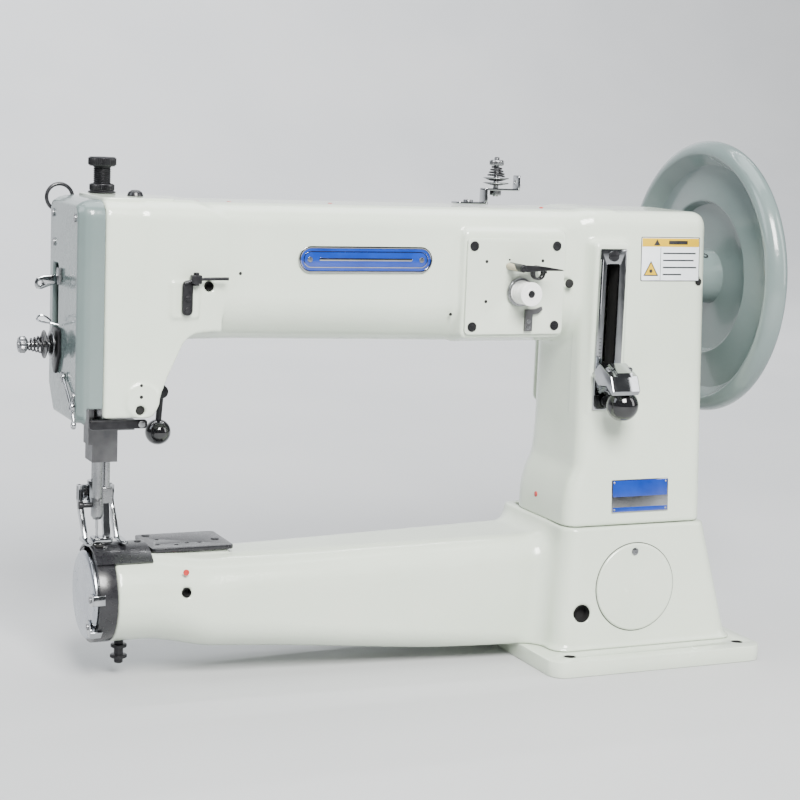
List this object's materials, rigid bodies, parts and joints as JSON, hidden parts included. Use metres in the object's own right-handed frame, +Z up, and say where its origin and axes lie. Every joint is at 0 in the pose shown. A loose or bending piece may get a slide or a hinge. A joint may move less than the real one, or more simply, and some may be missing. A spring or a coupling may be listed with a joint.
{
  "type": "cylinder-arm leather sewing machine",
  "caption": "Heavy cylinder-arm leather sewing machine with a deep throat, compound walking feet, stitch lever, bobbin winder and large handwheel.",
  "frame": {"origin": "on the underside of the base plate, midway along the plate, in the vertical plane of the main shaft", "axes": "+Z up, +X along the arm from the needle end towards the handwheel, -Y towards the operator"},
  "size_m": [0.7005, 0.2566, 0.4753],
  "materials": {
    "ivory_enamel": "gloss, light orange peel",
    "grey_green_enamel": "gloss",
    "black_oxide": "satin, blackened",
    "ground_steel": "ground",
    "chrome": "polished",
    "spring_steel": "satin",
    "bronze": "machined",
    "cast_iron": "machined, oiled",
    "black_plastic": "gloss",
    "white_thread": "wound thread",
    "blue_enamel": "gloss",
    "printed_label": "satin",
    "beige_plastic": "satin",
    "red_paint": "gloss"
  },
  "bodies": {
    "machine": {"bed_casting": "ivory_enamel", "arm_casting": "ivory_enamel", "rear_cover": "ivory_enamel", "winder_plate": "ivory_enamel", "graduated_plate": "chrome", "face_plate": "grey_green_enamel", "front_shaft_bushing": "bronze", "rear_shaft_bushing": "bronze", "frame_pivot_pin": "ground_steel", "presser_bar_bushing": "bronze", "presser_spring": "spring_steel", "tension_bracket": "black_oxide", "tension_discs": "black_oxide", "tension_spring": "spring_steel", "face_thread_guide": "chrome", "top_thread_eyelet": "black_oxide", "side_thread_guide": "black_oxide", "race_ring": "black_oxide", "race_cover": "chrome", "race_latch": "chrome", "lower_shaft_bushing": "bronze", "needle_plate": "black_oxide", "table_plate": "black_oxide", "pretension_bracket": "chrome", "pretension_post": "black_oxide", "pretension_discs": "black_oxide", "pretension_spring": "spring_steel"},
    "handwheel": {"main_shaft": "ground_steel", "handwheel": "grey_green_enamel", "needle_crank": "cast_iron"},
    "needle_frame": {"needle_bar_frame": "cast_iron"},
    "needle_bar": {"needle_bar": "ground_steel", "needle_bar_link": "ground_steel", "needle_clamp": "black_oxide", "needle": "chrome"},
    "inner_foot": {"inner_foot": "chrome"},
    "feed": {"feed_dog": "ground_steel", "feed_bar": "cast_iron"},
    "take_up": {"take_up_lever": "chrome"},
    "presser": {"presser_bar": "ground_steel", "presser_foot": "chrome"},
    "lifter": {"presser_lifter": "black_plastic"},
    "pressure_screw": {"pressure_screw": "black_oxide"},
    "pressure_lock_nut": {"pressure_lock_nut": "black_oxide"},
    "tension_nut": {"tension_nut": "chrome"},
    "check_spring": {"check_spring": "spring_steel"},
    "pretension_nut": {"pretension_nut": "chrome"},
    "latch_screw": {"latch_screw": "black_oxide"},
    "stitch_lever": {"stitch_lever": "black_plastic", "stitch_lever_block": "chrome"},
    "rocker": {"rocker_segment": "cast_iron"},
    "connecting_rod": {"connecting_rod": "ground_steel"},
    "hook": {"lower_shaft": "ground_steel", "shuttle": "ground_steel", "hook_pinion": "ground_steel"},
    "lower_bobbin": {"lower_bobbin": "bronze"},
    "winder": {"winder_spindle": "black_oxide", "winder_bobbin": "white_thread"},
    "winder_trip": {"winder_trip_lever": "black_oxide"},
    "side_cover": {"bed_side_cover": "ivory_enamel"}
  },
  "joints": [
    {"name": "handwheel_turn", "type": "hinge", "parent": "machine", "child": "handwheel", "pos_m": [0, 0, 0.347], "axis": [1, 0, 0], "continuous": true},
    {"name": "needle_frame_swing", "type": "hinge", "parent": "machine", "child": "needle_frame", "pos_m": [-0.4895, 0, 0.392], "axis": [1, 0, 0], "range_deg": [-1.14, 1.14]},
    {"name": "needle_bar_stroke", "type": "slide", "parent": "needle_frame", "child": "needle_bar", "axis": [0, 0, 1], "range_m": [-0.012, 0.0315]},
    {"name": "inner_foot_lift", "type": "slide", "parent": "needle_frame", "child": "inner_foot", "axis": [0, 0, 1], "range_m": [0, 0.008]},
    {"name": "feed_walk", "type": "slide", "parent": "machine", "child": "feed", "axis": [0, 1, 0], "range_m": [-0.0056, 0.0056]},
    {"name": "take_up_swing", "type": "hinge", "parent": "machine", "child": "take_up", "pos_m": [-0.518, -0.03, 0.318], "axis": [1, 0, 0], "range_deg": [-24, 9.2]},
    {"name": "presser_lift", "type": "slide", "parent": "machine", "child": "presser", "axis": [0, 0, 1], "range_m": [0, 0.0121], "deforming": ["presser_spring"]},
    {"name": "lifter_swing", "type": "hinge", "parent": "machine", "child": "lifter", "pos_m": [-0.4635, 0.048, 0.272], "axis": [0, -1, 0], "range_deg": [0, 80]},
    {"name": "pressure_screw_turn", "type": "hinge", "parent": "machine", "child": "pressure_screw", "pos_m": [-0.4875, 0.027, 0.44], "axis": [0, 0, 1], "range_deg": [-180, 180]},
    {"name": "pressure_lock_nut_turn", "type": "hinge", "parent": "machine", "child": "pressure_lock_nut", "pos_m": [-0.4875, 0.027, 0.417], "axis": [0, 0, 1], "range_deg": [-180, 180]},
    {"name": "tension_nut_turn", "type": "hinge", "parent": "machine", "child": "tension_nut", "pos_m": [-0.557, 0.01, 0.288], "axis": [1, 0, 0], "range_deg": [-180, 180]},
    {"name": "check_spring_flex", "type": "hinge", "parent": "machine", "child": "check_spring", "pos_m": [-0.534, 0.01, 0.288], "axis": [1, 0, 0], "range_deg": [-12, 0], "stiffness_Nm_per_rad": 0.02},
    {"name": "pretension_nut_turn", "type": "hinge", "parent": "machine", "child": "pretension_nut", "pos_m": [-0.1317, 0, 0.4487], "axis": [0, 0, 1], "range_deg": [-180, 180]},
    {"name": "latch_screw_turn", "type": "hinge", "parent": "machine", "child": "latch_screw", "pos_m": [-0.4735, 0, 0.022], "axis": [0, 0, 1], "range_deg": [-180, 180]},
    {"name": "stitch_lever_swing", "type": "hinge", "parent": "machine", "child": "stitch_lever", "pos_m": [-0.0465, 0, 0.312], "axis": [-1, 0, 0], "range_deg": [0, 60]},
    {"name": "rocker_swing", "type": "hinge", "parent": "machine", "child": "rocker", "pos_m": [0.011, -0.03, 0.0375], "axis": [1, 0, 0], "range_deg": [-35, 35]},
    {"name": "connecting_rod_pivot", "type": "hinge", "parent": "rocker", "child": "connecting_rod", "pos_m": [0.0415, -0.01, 0.0375], "axis": [1, 0, 0], "range_deg": [-35, 35]},
    {"name": "hook_oscillation", "type": "hinge", "parent": "machine", "child": "hook", "pos_m": [-0.4895, 0, 0.075], "axis": [1, 0, 0], "range_deg": [-105, 105]},
    {"name": "lower_bobbin_spin", "type": "hinge", "parent": "hook", "child": "lower_bobbin", "pos_m": [-0.4965, 0, 0.075], "axis": [1, 0, 0], "continuous": true},
    {"name": "winder_spin", "type": "hinge", "parent": "machine", "child": "winder", "pos_m": [-0.1355, -0.062, 0.3385], "axis": [0, 1, 0], "continuous": true},
    {"name": "winder_trip_swing", "type": "hinge", "parent": "machine", "child": "winder_trip", "pos_m": [-0.1451, -0.075, 0.361], "axis": [0, 1, 0], "range_deg": [-10, 12]},
    {"name": "side_cover_swing", "type": "hinge", "parent": "machine", "child": "side_cover", "pos_m": [-0.0145, -0.0827, 0.103], "axis": [0, -0.9986, 0.0537], "range_deg": [0, 180]}
  ],
  "couplings": [
    {"joint": "feed_walk", "follows": "needle_frame_swing", "m_per_rad": 0.277},
    {"joint": "take_up_swing", "follows": "needle_bar_stroke", "rad_per_m": -13},
    {"joint": "presser_lift", "follows": "lifter_swing", "m_per_rad": 0.0086},
    {"joint": "hook_oscillation", "follows": "rocker_swing", "ratio": -3},
    {"joint": "connecting_rod_pivot", "follows": "rocker_swing", "ratio": -1}
  ]
}
